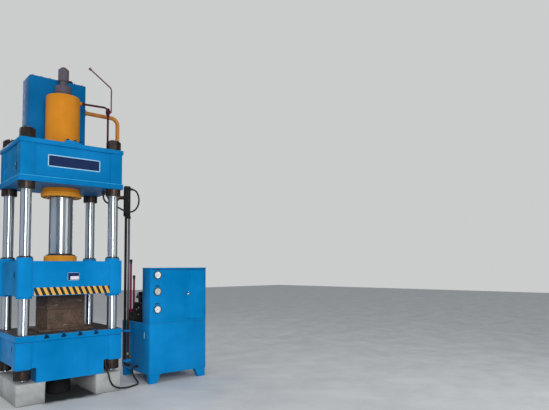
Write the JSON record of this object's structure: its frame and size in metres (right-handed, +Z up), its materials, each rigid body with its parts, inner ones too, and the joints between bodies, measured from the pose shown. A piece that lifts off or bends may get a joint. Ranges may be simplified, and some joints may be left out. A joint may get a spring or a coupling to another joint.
{
  "type": "four-column hydraulic press",
  "caption": "Four-column hydraulic press with a top cylinder, a guided slide, a filling tank on its crown and a separate pump unit with a panel cabinet.",
  "frame": {"origin": "on the floor, midway between the four columns", "axes": "+X to the right along the press's front, towards the pump unit; +Y from front to back; +Z up along the ram"},
  "size_m": [2.615, 1.1676, 4.381],
  "materials": {
    "blue_paint": "semi-gloss enamel",
    "orange_paint": "semi-gloss enamel",
    "grey_paint": "satin",
    "black_paint": "satin",
    "red_oxide": "dull primer",
    "brown_pipe": "dull, rusted",
    "chrome": "hard chromed and polished",
    "black_oxide": "oiled, darkened",
    "bronze": "machined",
    "zinc": "turned",
    "rusty_steel": "rusted block of tool steel",
    "concrete": "cast concrete, rough",
    "rubber": "matt hose cover",
    "dial": "white enamel face",
    "needle": "matt black"
  },
  "bodies": {
    "frame": {"column_front_left": "chrome", "column_front_right": "chrome", "column_back_left": "chrome", "column_back_right": "chrome", "crown_nut_front_left": "black_oxide", "crown_nut_front_right": "black_oxide", "crown_nut_back_left": "black_oxide", "crown_nut_back_right": "black_oxide", "crown_under_nut_front_left": "black_oxide", "crown_under_nut_front_right": "black_oxide", "crown_under_nut_back_left": "black_oxide", "crown_under_nut_back_right": "black_oxide", "bed_nut_front_left": "black_oxide", "bed_nut_front_right": "black_oxide", "bed_nut_back_left": "black_oxide", "bed_nut_back_right": "black_oxide", "support_block_left": "concrete", "support_block_right": "concrete", "bed": "blue_paint", "bed_plate": "blue_paint", "die_block": "rusty_steel", "crown": "blue_paint", "main_cylinder": "orange_paint", "cylinder_gland": "orange_paint", "cylinder_lock_plate": "blue_paint", "prefill_valve_body": "grey_paint", "prefill_valve_cap": "grey_paint", "filling_tank": "blue_paint", "ejector_cylinder": "black_paint", "oil_tank": "blue_paint", "panel_cabinet": "blue_paint", "gauge_lower": "dial", "gauge_middle": "dial", "gauge_upper": "dial", "electric_motor": "black_paint", "pump": "grey_paint", "valve_block": "black_paint", "service_pipes": "red_oxide", "return_pipe": "orange_paint", "pressure_pipe": "red_oxide", "vent_pipe": "brown_pipe", "riser_pipe_black": "black_paint", "riser_pipe_grey": "grey_paint", "hose_long": "rubber", "hose_short": "rubber", "floor_hose": "rubber"},
    "slide": {"slide": "blue_paint", "ram": "chrome", "ram_flange": "orange_paint", "guide_bush_front_left": "bronze", "guide_bush_front_right": "bronze", "guide_bush_back_left": "bronze", "guide_bush_back_right": "bronze"},
    "ejector": {"ejector_rod": "chrome"},
    "door": {"cabinet_door": "blue_paint"},
    "knob": {"door_knob": "black_paint"},
    "needle_lower": {"gauge_needle_lower": "needle"},
    "needle_middle": {"gauge_needle_middle": "needle"},
    "needle_upper": {"gauge_needle_upper": "needle"},
    "coupling": {"shaft_coupling": "zinc"}
  },
  "joints": [
    {"name": "slide_stroke", "type": "slide", "parent": "frame", "child": "slide", "axis": [0, 0, 1], "range_m": [0, 0.7]},
    {"name": "ejector_stroke", "type": "slide", "parent": "frame", "child": "ejector", "axis": [0, 0, 1], "range_m": [0, 0.18]},
    {"name": "cabinet_door_hinge", "type": "hinge", "parent": "frame", "child": "door", "pos_m": [1.9585, -0.4763, 1.2113], "axis": [0, 0, 1], "range_deg": [0, 110]},
    {"name": "door_knob_turn", "type": "hinge", "parent": "door", "child": "knob", "pos_m": [1.67, -0.47, 1.2203], "axis": [0, 1, 0], "range_deg": [0, 90]},
    {"name": "gauge_needle_lower_turn", "type": "hinge", "parent": "frame", "child": "needle_lower", "pos_m": [1.1725, -0.485, 1.0203], "axis": [0, 1, 0], "range_deg": [0, 270], "stiffness_Nm_per_rad": 0.002, "springref_deg": -28.65},
    {"name": "gauge_needle_middle_turn", "type": "hinge", "parent": "frame", "child": "needle_middle", "pos_m": [1.1725, -0.485, 1.2703], "axis": [0, 1, 0], "range_deg": [0, 270], "stiffness_Nm_per_rad": 0.002, "springref_deg": -28.65},
    {"name": "gauge_needle_upper_turn", "type": "hinge", "parent": "frame", "child": "needle_upper", "pos_m": [1.1725, -0.485, 1.5003], "axis": [0, 1, 0], "range_deg": [0, 270], "stiffness_Nm_per_rad": 0.002, "springref_deg": -28.65},
    {"name": "motor_spin", "type": "hinge", "parent": "frame", "child": "coupling", "pos_m": [1.46, 0.1, 1.0053], "axis": [0, 1, 0], "continuous": true}
  ]
}
